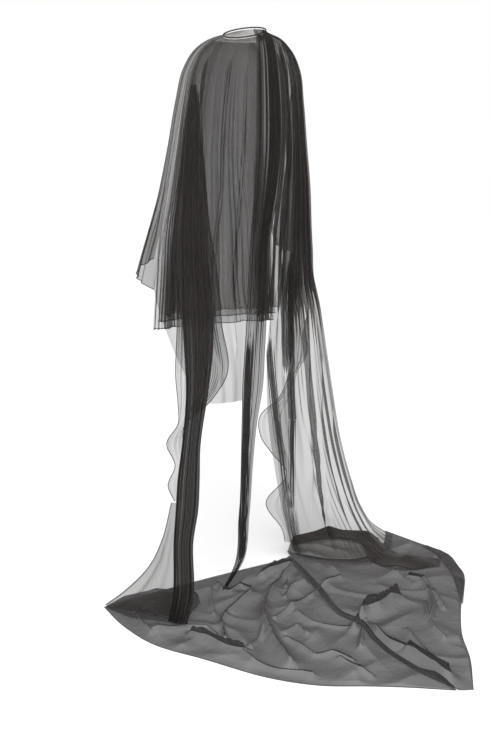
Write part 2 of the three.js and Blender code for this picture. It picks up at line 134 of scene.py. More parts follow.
def chiffon(name, lets_through, tint, crinkle, strength, crowded_and_shaded=None):
    """Sheer silk: each layer darkens what lies behind it by the length of thread crossed.

    The last argument holds two heights above the floor and what the cloth lets through above
    the second; it changes between them. This is partly the many layers drawn together there
    and partly painted shade: the cloth is made darker where the arms and body, which are left
    out, would lie in shade behind it.
    """
    silk = finished(name, {
        "Roughness": 0.75,
        "Specular IOR Level": 0.25,
        "Sheen Weight": 0.12,
        "Sheen Roughness": 0.5,
        "Sheen Tint": (0.75, 0.68, 0.62, 1.0),
    })
    nodes, links = silk.node_tree.nodes, silk.node_tree.links
    cloth = nodes["Principled BSDF"]
    place = nodes.new("ShaderNodeTexCoord")
    slubs = nodes.new("ShaderNodeTexNoise")
    slubs.inputs["Scale"].default_value = 9.0
    slubs.inputs["Detail"].default_value = 5.0
    shades = nodes.new("ShaderNodeMixRGB")
    shades.inputs["Color1"].default_value = (*[0.7 * part for part in tint], 1.0)
    shades.inputs["Color2"].default_value = (*[1.3 * part for part in tint], 1.0)
    stretch = nodes.new("ShaderNodeMapping")
    stretch.inputs["Scale"].default_value = crinkle
    wrinkles = nodes.new("ShaderNodeTexNoise")
    wrinkles.inputs["Scale"].default_value = 1.0
    wrinkles.inputs["Detail"].default_value = 3.0
    relief = nodes.new("ShaderNodeBump")
    relief.inputs["Strength"].default_value = strength
    relief.inputs["Distance"].default_value = 0.004
    links.new(place.outputs["Object"], stretch.inputs["Vector"])
    links.new(stretch.outputs["Vector"], wrinkles.inputs["Vector"])
    links.new(wrinkles.outputs["Fac"], relief.inputs["Height"])
    links.new(relief.outputs["Normal"], cloth.inputs["Normal"])
    links.new(place.outputs["Object"], slubs.inputs["Vector"])
    links.new(slubs.outputs["Fac"], shades.inputs["Fac"])
    links.new(shades.outputs["Color"], cloth.inputs["Base Color"])
    slant = nodes.new("ShaderNodeLayerWeight")
    slant.inputs["Blend"].default_value = 0.5
    links.new(relief.outputs["Normal"], slant.inputs["Normal"])
    squareness = arithmetic(nodes, "SUBTRACT", first=1.0)
    not_quite_edge_on = arithmetic(nodes, "MAXIMUM", second=0.03)
    longer = arithmetic(nodes, "DIVIDE", first=1.0)
    passing = arithmetic(nodes, "POWER", first=lets_through)
    # Painted shade: what the cloth lets through changes with height, partly for layers drawn together and
    # partly to darken it where the left-out arms and body would be in shade.
    if crowded_and_shaded:
        start, end, there = crowded_and_shaded
        level = nodes.new("ShaderNodeSeparateXYZ")
        crowding_and_shade = nodes.new("ShaderNodeMapRange")
        crowding_and_shade.inputs["From Min"].default_value = start + FLOOR
        crowding_and_shade.inputs["From Max"].default_value = end + FLOOR
        crowding_and_shade.inputs["To Min"].default_value = lets_through
        crowding_and_shade.inputs["To Max"].default_value = there
        links.new(place.outputs["Object"], level.inputs["Vector"])
        links.new(level.outputs["Z"], crowding_and_shade.inputs["Value"])
        links.new(crowding_and_shade.outputs["Result"], passing.inputs[0])
    opaque = arithmetic(nodes, "SUBTRACT", first=1.0)
    links.new(slant.outputs["Facing"], squareness.inputs[1])
    links.new(squareness.outputs["Value"], not_quite_edge_on.inputs[0])
    links.new(not_quite_edge_on.outputs["Value"], longer.inputs[1])
    links.new(longer.outputs["Value"], passing.inputs[1])
    links.new(passing.outputs["Value"], opaque.inputs[1])
    links.new(opaque.outputs["Value"], cloth.inputs["Alpha"])
    return silk


# Sleeves let less through low on the arm than high on it: painted shade of the arm, which is left out, as
# well as the folds hanging under it.
sleeve_silk = chiffon("sleeve_silk", 0.48, BLACK_SILK, HANGING_CRINKLE, 0.35, (0.95, 1.25, 0.66))
hem_silk = finished("rolled_hem_silk", {"Base Color": HEM_BLACK, "Roughness": 0.6})

# Every hanging piece is worked out from sections: a row each, from the top to the
# hem. A row gives the near edge's height above the floor and place, the far
# edge's, how far the middle stands out, and the depth of the folds.
NECK = {"half_width": 0.057, "half_depth": 0.056, "middle": 0.002, "height": 1.491, "rise": 0.010}


def neck_arc(first, last, share):
    """Points on the neckline between two angles; 0 is the wearer's left, 90 the back."""
    angle = np.radians(first + (last - first) * share)
    height = NECK["height"] + NECK["rise"] * np.sin(angle) + FLOOR
    across = NECK["half_width"] * np.cos(angle)
    back = NECK["middle"] + NECK["half_depth"] * np.sin(angle)
    return np.stack([across, back, height], axis=-1)


def section(row, share):
    """Points across one section, a share of the way from its near to its far edge."""
    height, x, y, far_height, far_x, far_y, bulge, _ = row
    length = math.hypot(far_x - x, far_y - y)
    out = np.array([far_y - y, x - far_x]) / length
    swell = bulge * 4.0 * share * (1.0 - share)
    return np.stack([
        x + (far_x - x) * share + out[0] * swell,
        y + (far_y - y) * share + out[1] * swell,
        height + (far_height - height) * share + FLOOR,
    ], axis=-1)


def along_rows(rows, down):
    """Which row each place lies under, its distance from the top row, and every row's."""
    steps = [math.dist(a[:3], b[:3]) + math.dist(a[3:6], b[3:6]) for a, b in zip(rows, rows[1:])]
    marks = np.concatenate([[0.0], np.cumsum(steps)])
    place = np.clip(down, 0.0, 1.0) * marks[-1]
    above = np.clip(np.searchsorted(marks, place, side="right") - 1, 0, len(rows) - 2)
    return above, place, marks


def through(values, above, place, marks):
    """A smooth curve through one value, or point, for each row."""
    slopes = np.gradient(values, marks, axis=0)
    width = (marks[above + 1] - marks[above])
    part = (place - marks[above]) / width
    many = values.ndim == 3
    at = (above, np.arange(len(above))) if many else (above,)
    after = (above + 1, np.arange(len(above))) if many else (above + 1,)
    if many:
        part, width = part[:, None], width[:, None]
    return ((2 * part**3 - 3 * part**2 + 1) * values[at] + (part**3 - 2 * part**2 + part) * width * slopes[at]
            + (3 * part**2 - 2 * part**3) * values[after] + (part**3 - part**2) * width * slopes[after])


def draped(rows, share, down, neck=None):
    """Points of the plain cloth, before its folds, and the depth of the folds."""
    lines = [section(row, share) for row in rows]
    depths = [row[7] for row in rows]
    if neck:
        lines.insert(0, neck_arc(*neck, share))
        depths.insert(0, depths[0] / 2)
        near, far = neck_arc(*neck, np.array([0.0, 1.0]))
        rows = [(near[2] - FLOOR, near[0], near[1], far[2] - FLOOR, far[0], far[1], 0, 0)] + rows
    above, place, marks = along_rows(rows, down)
    points = through(np.stack(lines), above, place, marks)
    return points, through(np.array(depths), above, place, marks)


def cloth_piece(name, across, down, shape, material, replaces=None):
    """A fine grid bent into shape(share, down), which returns a point for each vertex."""
    form = bmesh.new()
    bmesh.ops.create_grid(form, x_segments=across, y_segments=down, size=1.0)
    mesh = bpy.data.meshes.new(name)
    form.to_mesh(mesh)
    form.free()
    flat = np.empty(len(mesh.vertices) * 3)
    mesh.vertices.foreach_get("co", flat)
    flat = flat.reshape(-1, 3)
    share, below = (flat[:, 0] + 1.0) / 2.0, (1.0 - flat[:, 1]) / 2.0
    mesh.vertices.foreach_set("co", shape(share, below).ravel())
    mesh.polygons.foreach_set("use_smooth", [True] * len(mesh.polygons))
    mesh.materials.append(material)
    mesh.update()
    piece = bpy.data.objects.new(name, mesh)
    scene.collection.objects.link(piece)
    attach(piece, "root")
    if replaces:
        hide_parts(*replaces)
    return piece


def hanging(rows, reliefs, neck=None):
    """The shape of a hanging piece: its drape, moved out and in by its folds."""
    step = 0.004

    def shape(share, down):
        points, depth = draped(rows, share, down, neck)
        after, before = np.minimum(share + step, 1.0), np.maximum(share - step, 0.0)
        across = draped(rows, after, down, neck)[0] - draped(rows, before, down, neck)[0]
        along = draped(rows, share, np.minimum(down + step, 1.0), neck)[0] - draped(
            rows, share, np.maximum(down - step, 0.0), neck)[0]
        out = np.cross(along, across)
        out /= np.linalg.norm(out, axis=1)[:, None]
        breadth = np.linalg.norm(across, axis=1) / (after - before)
        height = points[:, 2] - FLOOR
        moved = sum(relief(share, height, depth, breadth) for relief in reliefs)
        return points + out * moved[:, None]

    return shape


def rolled_hem(name, shape, edge, steps=160, radius=HEM_RADIUS):
    """A tight roll of cloth along one edge of a piece."""
    run = np.linspace(0.0, 1.0, steps)
    still = np.full(steps, {"near": 0.0, "far": 1.0, "foot": 1.0, "top": 0.0}[edge])
    points = shape(still, run) if edge in ("near", "far") else shape(run, still)
    line = bpy.data.curves.new(name, "CURVE")
    line.dimensions = "3D"
    line.bevel_depth = radius
    line.bevel_resolution = 1
    spline = line.splines.new("POLY")
    spline.points.add(steps - 1)
    for knot, point in zip(spline.points, points):
        knot.co = (*point, 1.0)
    line.materials.append(hem_silk)
    hem = bpy.data.objects.new(name, line)
    scene.collection.objects.link(hem)
    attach(hem, "root")
    return hem


def pleats(count, seed=0.0, sides=0.0, drift=0.3):
    """Uneven pleats side by side; sides crowds them, and their depth, towards both edges."""

    def relief(share, height, depth, breadth):
        crowded = share + sides * np.sin(2 * math.pi * share) / (2 * math.pi)
        uneven = crowded + sum(far * np.sin(often * share + turn * seed) for far, often, turn in PLEAT_WANDER)
        wave = np.sin(2 * math.pi * count * uneven + drift * np.sin(4.0 * height + seed + 4.0 * share))
        size = PLEAT_MEAN + (1.0 - PLEAT_MEAN) * np.sin(7.3 * count * share / 3 + seed - 1.6 * height)
        calm = 1.0 - sides * (1.0 - np.cos(math.pi * share) ** 2)
        ends = np.minimum(1.0, PLEAT_EDGE * np.minimum(share, 1.0 - share))
        return depth * wave * size * calm * ends

    return relief


SLEEVE = [
    (1.474, 0.084, -0.046, 1.480, 0.101, 0.028, 0.014, 0.0006),
    (1.445, 0.116, -0.062, 1.447, 0.148, 0.032, 0.022, 0.001),
    (1.400, 0.136, -0.076, 1.400, 0.182, 0.028, 0.024, 0.0015),
    (1.320, 0.150, -0.090, 1.320, 0.202, 0.020, 0.024, 0.002),
    (1.200, 0.165, -0.104, 1.200, 0.222, 0.012, 0.026, 0.003),
    (1.080, 0.184, -0.112, 1.080, 0.244, 0.002, 0.032, 0.004),
    (0.960, 0.210, -0.114, 0.960, 0.274, -0.020, 0.038, 0.005),
    (0.930, 0.221, -0.113, 0.890, 0.287, -0.027, 0.042, 0.005),
    (0.903, 0.230, -0.112, 0.834, 0.296, -0.030, 0.046, 0.006),
]
RIGHT_SLEEVE = [(fh, -fx, fy, h, -x, y, bulge, fold) for h, x, y, fh, fx, fy, bulge, fold in SLEEVE]
for side, rows, neck in (("left", SLEEVE, (-33, 19)), ("right", RIGHT_SLEEVE, (161, 213))):
    sleeve_shape = hanging(rows, [pleats(5, seed=1.0 if side == "left" else 2.4)], neck)
    sleeve = cloth_piece(f"sleeve_{side}_silk", 60, 90, sleeve_shape, sleeve_silk, [f"sleeve_{side}"])
    cuff = rolled_hem(f"sleeve_{side}_cuff", sleeve_shape, "foot")

# ---------------------------------------------------------------------------
# Front: three layers of the same chiffon, gathered together into the neck binding.
# Each is shorter than the one over it and ends in a rolled hem.
FRONT = [
    (1.474, 1.474, 0.084, 0.084, -0.046, 0.024, 0.006, 0.001),
    (1.445, 1.445, 0.116, 0.116, -0.062, 0.024, 0.007, 0.0015),
    (1.400, 1.400, 0.136, 0.136, -0.076, 0.028, 0.008, 0.002),
    (1.320, 1.320, 0.150, 0.150, -0.090, 0.032, 0.010, 0.003),
    (1.200, 1.200, 0.165, 0.165, -0.104, 0.034, 0.012, 0.004),
    (1.080, 1.080, 0.184, 0.184, -0.112, 0.030, 0.013, 0.0045),
    (0.960, 0.960, 0.210, 0.210, -0.114, 0.030, 0.014, 0.005),
    (0.860, 0.860, 0.217, 0.222, -0.119, 0.028, 0.015, 0.008),
    (0.760, 0.760, 0.219, 0.238, -0.130, 0.022, 0.015, 0.009),
    (0.700, 0.664, 0.217, 0.256, -0.140, 0.014, 0.015, 0.009),
]
LAYER_TAPER = 0.45  # how much narrower a layer is at each side, by its depth
sheer_silk = chiffon("sheer_silk", 0.63, BLACK_SILK, HANGING_CRINKLE, 0.35)


def bundles(*each):
    """Dark strips where narrow pleats lie close: half-width, depth, how many, and the route."""

    def relief(share, height, depth, breadth):
        total = np.zeros_like(share)
        for half, deep, many, route in each:
            heights, shares = zip(*sorted(route))
            away = (share - np.interp(height, heights, shares)) * breadth / half
            ends = (heights[0] - 0.04, heights[0], heights[-1], heights[-1] + 0.06)
            strength = np.interp(height, ends, (0.0, 1.0, 1.0, 0.0)) * np.exp(-away**4)
            total += deep * strength * np.sin(math.pi * many * away)
        return total

    return relief


front_strips = bundles(
    (0.008, 0.006, 2, [(1.40, 0.36), (1.27, 0.37), (1.07, 0.39), (0.94, 0.45), (0.87, 0.46)]),
    (0.007, 0.006, 2, [(1.38, 0.15), (1.19, 0.16), (1.07, 0.20), (0.90, 0.28), (0.74, 0.31)]),
    (0.007, 0.006, 2, [(1.40, 0.70), (1.08, 0.55), (0.90, 0.52)]),
    (0.012, 0.006, 3, [(1.10, 0.08), (0.89, 0.11), (0.70, 0.13)]),
)
for name, depth, shorter in (("outer", 0, 0.0), ("middle", 1, 0.024), ("under", 2, 0.046)):
    layer_rows = []
    for number, (left_height, right_height, left, right, y, bulge, step, fold) in enumerate(FRONT):
        lift = shorter if number == len(FRONT) - 1 else 0.0
        inward = depth * step
        narrower = inward * LAYER_TAPER
        layer_rows.append((right_height + lift, narrower - right, y + inward,
                           left_height + lift, left - narrower, y + inward, bulge, fold))
    front_folds = [pleats(30, seed=0.6 * depth, sides=0.8), pleats(5, seed=1.1 * depth)]
    if name == "outer":
        front_folds.append(front_strips)
    front_shape = hanging(layer_rows, front_folds, None if depth else (214, 326))
    front = cloth_piece(f"front_{name}_silk", 400, 70, front_shape, sheer_silk, [f"front_{name}"])
    front_hem = rolled_hem(f"front_{name}_hem", front_shape, "foot", 280)

# ---------------------------------------------------------------------------
# Back, left panel: one plain layer of chiffon from the neck and shoulder to an
# arched hem at the thigh. It hangs free beside the gathered panel.
BACK_LEFT = [
    (1.480, 0.101, 0.028, 1.478, 0.024, 0.073, 0.012, 0.0005),
    (1.447, 0.148, 0.032, 1.445, 0.030, 0.083, 0.016, 0.001),
    (1.400, 0.182, 0.028, 1.400, 0.036, 0.090, 0.020, 0.001),
    (1.320, 0.202, 0.020, 1.320, 0.042, 0.096, 0.024, 0.0015),
    (1.200, 0.222, 0.012, 1.200, 0.050, 0.102, 0.028, 0.002),
    (1.080, 0.244, 0.002, 1.080, 0.062, 0.106, 0.036, 0.003),
    (0.960, 0.274, -0.020, 0.960, 0.078, 0.110, 0.044, 0.004),
    (0.890, 0.287, -0.027, 0.860, 0.092, 0.117, 0.046, 0.004),
    (0.834, 0.296, -0.030, 0.760, 0.105, 0.125, 0.046, 0.004),
    (0.690, 0.302, 0.050, 0.660, 0.118, 0.130, 0.032, 0.004),
    (0.570, 0.288, 0.116, 0.560, 0.132, 0.136, 0.016, 0.004),
    (0.550, 0.287, 0.119, 0.534, 0.134, 0.137, 0.014, 0.004),
]


def folds(*each):
    """Single folds, each with a half-width, a depth, and its share across at some heights."""

    def relief(share, height, depth, breadth):
        total = np.zeros_like(share)
        for half, deep, route in each:
            heights, shares = zip(*sorted(route))
            away = (share - np.interp(height, heights, shares)) * breadth / half
            ends = (heights[0] - 0.05, heights[0], heights[-1], heights[-1] + 0.08)
            total += deep * np.interp(height, ends, (0.0, 1.0, 1.0, 0.0)) * np.exp(-away**2)
        return total

    return relief


back_left_folds = folds(
    (0.005, 0.013, [(1.40, 0.44), (1.20, 0.49), (1.08, 0.53), (0.96, 0.575), (0.80, 0.60)]),
    (0.004, 0.009, [(1.40, 0.75), (1.20, 0.80), (0.96, 0.816), (0.70, 0.85)]),
    (0.005, 0.010, [(1.38, 0.16), (1.20, 0.20), (1.08, 0.30)]),
)
back_left_shape = hanging(BACK_LEFT, [pleats(3, seed=0.4), back_left_folds], (20, 71))
back_left = cloth_piece("back_left_silk", 150, 120, back_left_shape, sheer_silk, ["back_left"])

# ---------------------------------------------------------------------------
# Back, centre panel: chiffon drawn up tight at the back of the neck, where it is
# many layers deep, that runs down to the floor in a narrow tail with a rolled edge.
# A darker copy of the black silk, for the gathered tail and band: painted shade in their close folds. Up
# towards the neck the tail also lets less through: the many layers drawn together there, and painted shade.
GATHER_SHADE_BLACK = (0.016, 0.013, 0.012)
tail_silk = chiffon("tail_silk", 0.36, GATHER_SHADE_BLACK, HANGING_CRINKLE, 0.5, (0.60, 1.00, 0.25))
BACK_GATHER = [
    (1.478, 0.024, 0.073, 1.478, -0.042, 0.071, 0.002, 0.0050),
    (1.445, 0.030, 0.083, 1.445, -0.046, 0.080, 0.003, 0.0070),
    (1.400, 0.036, 0.090, 1.400, -0.050, 0.086, 0.003, 0.0080),
    (1.320, 0.042, 0.096, 1.320, -0.054, 0.093, 0.003, 0.0090),
    (1.200, 0.050, 0.102, 1.200, -0.052, 0.099, 0.003, 0.0090),
    (1.080, 0.062, 0.106, 1.080, -0.030, 0.104, 0.003, 0.0080),
    (0.960, 0.078, 0.110, 0.960, 0.002, 0.108, 0.002, 0.0060),
    (0.860, 0.092, 0.117, 0.860, 0.012, 0.112, 0.002, 0.0050),
    (0.760, 0.105, 0.125, 0.760, 0.024, 0.118, 0.001, 0.0040),
    (0.660, 0.118, 0.130, 0.660, 0.036, 0.124, 0.000, 0.0030),
    (0.560, 0.132, 0.136, 0.560, 0.050, 0.131, 0.000, 0.0025),
    (0.460, 0.136, 0.139, 0.460, 0.079, 0.138, 0.000, 0.0020),
    (0.360, 0.141, 0.140, 0.360, 0.094, 0.139, 0.000, 0.0020),
    (0.200, 0.150, 0.141, 0.200, 0.110, 0.140, 0.000, 0.0020),
    (0.070, 0.166, 0.142, 0.070, 0.134, 0.141, 0.000, 0.0020),
    (0.008, 0.218, 0.146, 0.008, 0.190, 0.136, 0.000, 0.0020),
]
tail_strip = bundles((0.014, 0.006, 4, [(0.66, 0.22), (0.46, 0.27), (0.25, 0.32), (0.10, 0.45)]))
gather_shape = hanging(BACK_GATHER, [pleats(11, seed=0.9), tail_strip], (72, 130))
gather = cloth_piece("back_gather_silk", 260, 180, gather_shape, tail_silk, ["back_gather"])
gather_edge = rolled_hem("back_gather_edge", gather_shape, "near", 300)

# ---------------------------------------------------------------------------
# Back, right panel: a wide layer of chiffon, pleated at the shoulder, that falls
# open below the thigh and sweeps out to meet the train at the floor.
# The right panel lets less through above the hip: its pleats drawn together at the shoulder, and painted
# shade of the right arm, which is left out.
right_silk = chiffon("right_silk", 0.60, BLACK_SILK, HANGING_CRINKLE, 0.35, (0.62, 0.90, 0.42))
BACK_RIGHT = [
    (1.478, -0.042, 0.071, 1.480, -0.101, 0.028, 0.012, 0.0020),
    (1.445, -0.046, 0.080, 1.447, -0.148, 0.032, 0.014, 0.0030),
    (1.400, -0.050, 0.086, 1.400, -0.182, 0.028, 0.016, 0.0040),
    (1.320, -0.054, 0.093, 1.320, -0.202, 0.020, 0.017, 0.0060),
    (1.200, -0.054, 0.099, 1.200, -0.222, 0.012, 0.018, 0.0090),
    (1.080, -0.036, 0.104, 1.080, -0.244, 0.002, 0.024, 0.0120),
    (0.960, -0.012, 0.108, 0.960, -0.274, -0.020, 0.030, 0.0130),
    (0.860, -0.004, 0.111, 0.890, -0.287, -0.027, 0.034, 0.0130),
    (0.780, 0.004, 0.113, 0.834, -0.296, -0.030, 0.036, 0.0120),
    (0.700, 0.014, 0.114, 0.720, -0.326, -0.016, 0.036, 0.0055),
    (0.640, 0.020, 0.115, 0.640, -0.330, 0.002, 0.036, 0.0030),
    (0.460, 0.018, 0.117, 0.460, -0.340, 0.035, 0.042, 0.0018),
    (0.300, -0.010, 0.118, 0.300, -0.355, 0.060, 0.052, 0.0018),
    (0.180, -0.040, 0.116, 0.180, -0.375, 0.086, 0.066, 0.0020),
    (0.090, -0.068, 0.115, 0.090, -0.394, 0.112, 0.092, 0.0020),
    (0.034, -0.086, 0.116, 0.034, -0.412, 0.150, 0.118, 0.0020),
    (0.008, -0.104, 0.118, 0.008, -0.429, 0.216, 0.136, 0.0015),
]
back_right_folds = folds(
    (0.006, -0.030, [(0.66, 0.58), (0.53, 0.56), (0.41, 0.53), (0.30, 0.48), (0.18, 0.39), (0.08, 0.29)]),
    (0.012, 0.012, [(0.60, 0.46), (0.40, 0.36), (0.25, 0.28)]),
    (0.009, -0.015, [(0.40, 0.66), (0.20, 0.62), (0.06, 0.56)]),
    (0.009, -0.013, [(0.50, 0.80), (0.25, 0.76), (0.06, 0.70)]),
    (0.008, -0.012, [(0.34, 0.90), (0.20, 0.87), (0.06, 0.82)]),
)
back_right_strips = bundles(
    (0.022, 0.006, 5, [(1.42, 0.11), (1.20, 0.09), (0.99, 0.06), (0.88, 0.05), (0.78, 0.04)]),
    (0.012, 0.010, 3, [(0.64, 0.03), (0.53, 0.06), (0.44, 0.07), (0.35, 0.07), (0.26, 0.055), (0.05, 0.03)]),
    (0.024, 0.010, 6, [(0.86, 0.24), (0.78, 0.23), (0.66, 0.22), (0.60, 0.23)]),
    (0.011, 0.010, 3, [(0.58, 0.24), (0.44, 0.22), (0.35, 0.17), (0.26, 0.12), (0.16, 0.07), (0.05, 0.04)]),
)
back_right_reliefs = [pleats(16, seed=2.0), back_right_folds, back_right_strips]
back_right_shape = hanging(BACK_RIGHT, back_right_reliefs, (131, 160))
back_right = cloth_piece("back_right_silk", 520, 180, back_right_shape, right_silk, ["back_right"])

# ---------------------------------------------------------------------------
# Left fall, band: the left side edge folded up into a stack of narrow pleats, so
# dense that it looks black. It hangs from the arm to the floor.
band_silk = chiffon("band_silk", 0.10, GATHER_SHADE_BLACK, HANGING_CRINKLE, 0.5)
FALL_LEFT_BAND = [
    (1.360, 0.166, -0.022, 1.360, 0.156, -0.014, 0.002, 0.003),
    (1.260, 0.184, -0.015, 1.260, 0.163, 0.005, 0.003, 0.006),
    (1.180, 0.200, -0.009, 1.180, 0.171, 0.020, 0.003, 0.007),
    (1.080, 0.216, -0.003, 1.080, 0.175, 0.036, 0.004, 0.007),
    (0.980, 0.227, 0.000, 0.980, 0.179, 0.046, 0.004, 0.007),
    (0.895, 0.231, 0.003, 0.895, 0.179, 0.053, 0.004, 0.007),
    (0.805, 0.238, 0.010, 0.805, 0.178, 0.067, 0.004, 0.008),
    (0.680, 0.256, 0.041, 0.680, 0.200, 0.095, 0.004, 0.009),
    (0.577, 0.277, 0.072, 0.577, 0.234, 0.114, 0.004, 0.009),
    (0.433, 0.330, 0.114, 0.433, 0.293, 0.147, 0.003, 0.010),
    (0.360, 0.357, 0.129, 0.360, 0.314, 0.168, 0.003, 0.010),
    (0.289, 0.380, 0.148, 0.289, 0.337, 0.188, 0.003, 0.010),
    (0.214, 0.398, 0.160, 0.214, 0.360, 0.195, 0.003, 0.010),
    (0.065, 0.427, 0.186, 0.065, 0.390, 0.225, 0.003, 0.010),
    (0.008, 0.438, 0.182, 0.008, 0.414, 0.230, 0.003, 0.009),
]
band_shape = hanging(FALL_LEFT_BAND, [pleats(7, seed=1.3)])
band = cloth_piece("fall_left_band_silk", 160, 120, band_shape, band_silk, ["fall_left_band"])

# ---------------------------------------------------------------------------
# Left fall, hem: the rest of that side edge, which drops beside the band in a
# zigzag of soft folds with a rolled edge on both sides.
# The falls' silk is a little darker in colour than the black silk and lets less through above the knee:
# painted shade beside the arms and body, which are left out, as well as the folds.
flap_silk = chiffon("flap_silk", 0.66, (0.018, 0.015, 0.013), HANGING_CRINKLE, 0.4, (0.60, 0.85, 0.35))
FALL_LEFT_HEM = [
    (1.340, 0.150, -0.044, 1.340, 0.136, -0.030, 0.002, 0.002),
    (1.270, 0.170, -0.038, 1.270, 0.145, -0.015, 0.003, 0.004),
    (1.180, 0.192, -0.034, 1.180, 0.150, 0.002, 0.003, 0.006),
    (1.080, 0.207, -0.032, 1.080, 0.152, 0.018, 0.004, 0.006),
    (0.980, 0.222, -0.033, 0.980, 0.152, 0.032, 0.005, 0.006),
    (0.895, 0.228, -0.030, 0.895, 0.144, 0.046, 0.005, 0.006),
    (0.800, 0.228, -0.022, 0.800, 0.140, 0.054, 0.005, 0.007),
    (0.737, 0.232, -0.016, 0.737, 0.142, 0.064, 0.005, 0.007),
    (0.594, 0.254, 0.002, 0.594, 0.152, 0.092, 0.004, 0.006),
    (0.520, 0.262, 0.020, 0.520, 0.206, 0.072, 0.003, 0.004),
    (0.475, 0.276, 0.036, 0.475, 0.262, 0.050, 0.001, 0.001),
    (0.433, 0.331, 0.054, 0.433, 0.300, 0.084, 0.002, 0.002),
    (0.385, 0.335, 0.093, 0.385, 0.320, 0.106, 0.000, 0.000),
    (0.335, 0.362, 0.096, 0.335, 0.338, 0.120, 0.001, 0.001),
    (0.300, 0.362, 0.122, 0.300, 0.354, 0.131, 0.000, 0.000),
]
hem_strips = bundles((0.026, 0.005, 5, [(0.74, 0.74), (0.66, 0.76), (0.60, 0.80), (0.56, 0.84)]))
fall_hem_shape = hanging(FALL_LEFT_HEM, [pleats(7, seed=0.2), hem_strips])
fall_hem = cloth_piece("fall_left_hem_silk", 140, 140, fall_hem_shape, flap_silk, ["fall_left_hem"])
fall_hem_edges = [
    rolled_hem("fall_left_hem_edge", fall_hem_shape, "far"),
    rolled_hem("fall_left_hem_side", fall_hem_shape, "near"),
]

# ---------------------------------------------------------------------------
# Left gore: a plain three-cornered layer of chiffon that sweeps out from the foot
# of the band to the corner of the train, with a rolled edge along its outer side.
gore_silk = chiffon("gore_silk", 0.48, BLACK_SILK, HANGING_CRINKLE, 0.35)
GORE_LEFT = [
    (0.300, 0.374, 0.124, 0.300, 0.360, 0.138, 0.000, 0.000),
    (0.197, 0.396, 0.109, 0.197, 0.383, 0.154, 0.002, 0.001),
    (0.124, 0.417, 0.082, 0.124, 0.397, 0.167, 0.004, 0.002),
    (0.041, 0.470, 0.026, 0.041, 0.412, 0.176, 0.006, 0.004),
    (0.007, 0.504, -0.004, 0.007, 0.420, 0.172, 0.004, 0.004),
]
gore_shape = hanging(GORE_LEFT, [pleats(3, seed=0.2)])
gore = cloth_piece("gore_left_silk", 40, 60, gore_shape, gore_silk, ["gore_left"])
gore_edge = rolled_hem("gore_left_edge", gore_shape, "near")

# ---------------------------------------------------------------------------
# Right fall: the right side edge, one layer of the same chiffon that drops from
# the wrist to the floor in a zigzag, with a rolled edge along its inner side.
FALL_RIGHT = [
    (1.360, -0.160, 0.026, 1.360, -0.176, 0.022, 0.002, 0.001),
    (1.300, -0.152, 0.020, 1.300, -0.194, 0.010, 0.003, 0.002),
    (1.200, -0.148, 0.022, 1.200, -0.211, 0.004, 0.003, 0.003),
    (1.080, -0.146, 0.022, 1.080, -0.230, -0.005, 0.003, 0.004),
    (0.960, -0.140, 0.020, 0.960, -0.252, -0.024, 0.003, 0.005),
    (0.860, -0.136, 0.016, 0.860, -0.262, -0.032, 0.003, 0.006),
    (0.760, -0.144, 0.012, 0.760, -0.268, -0.034, 0.003, 0.005),
    (0.700, -0.166, 0.010, 0.700, -0.270, -0.022, 0.003, 0.005),
    (0.650, -0.186, 0.006, 0.640, -0.270, -0.014, 0.003, 0.004),
    (0.575, -0.183, 0.006, 0.575, -0.272, -0.008, 0.003, 0.004),
    (0.525, -0.176, 0.004, 0.525, -0.216, 0.002, 0.003, 0.003),
    (0.455, -0.150, -0.012, 0.455, -0.206, 0.004, 0.003, 0.005),
    (0.411, -0.103, -0.036, 0.411, -0.200, 0.008, 0.003, 0.006),
    (0.340, -0.103, -0.036, 0.340, -0.196, 0.014, 0.003, 0.006),
    (0.291, -0.128, -0.018, 0.291, -0.190, 0.020, 0.003, 0.005),
    (0.224, -0.164, 0.014, 0.224, -0.182, 0.030, 0.003, 0.002),
    (0.132, -0.110, -0.020, 0.132, -0.178, 0.034, 0.003, 0.005),
    (0.041, -0.146, 0.018, 0.041, -0.172, 0.040, 0.003, 0.003),
    (0.008, -0.150, 0.024, 0.008, -0.170, 0.044, 0.003, 0.002),
]
fall_right_shape = hanging(FALL_RIGHT, [pleats(4, seed=2.6)])
fall_right = cloth_piece("fall_right_silk", 100, 160, fall_right_shape, flap_silk, ["fall_right"])
fall_right_edge = rolled_hem("fall_right_edge", fall_right_shape, "near", 220)

# ---------------------------------------------------------------------------
# Train: the back's width runs out over the floor in two halves of chiffon that
# overlap along the middle, and lies there in soft ridges and sharp creases, with a
# rolled edge on both sides of each half.
LYING_CRINKLE = (26.0, 26.0, 26.0)  # even all ways, as the cloth lies
TRAIN_HEM_RADIUS = 0.0007
REST_GAP = 0.0006  # the cloth's height over the floor where it lies flat
BOUND_EDGE, FADE_EDGE = 0.005, 0.06  # share kept flat at the edges, and over which folds grow
SEAM_SHARE = 0.3  # share of the right half that rises to lie on the left one
RIDGE_SHARE, CREASE_SHARE, CRUMPLE_SHARE = 0.6, 1.4, 0.8  # how much of each the cloth takes up
lying_silk = chiffon("lying_silk", 0.48, (0.024, 0.022, 0.024), LYING_CRINKLE, 0.8)
TRAIN_LEFT = [
    (0.506, -0.008, -0.092, 0.112, -0.010),
    (0.532, 0.110, -0.050, 0.215, 0.000),
    (0.536, 0.240, -0.004, 0.318, 0.000),
    (0.490, 0.390, 0.056, 0.440, 0.000),
    (0.437, 0.555, 0.058, 0.520, 0.000),
    (0.374, 0.660, 0.100, 0.600, 0.000),
    (0.288, 0.745, 0.128, 0.680, 0.000),
    (0.230, 0.806, 0.142, 0.770, 0.000),
    (0.160, 0.888, 0.148, 0.872, 0.000),
]
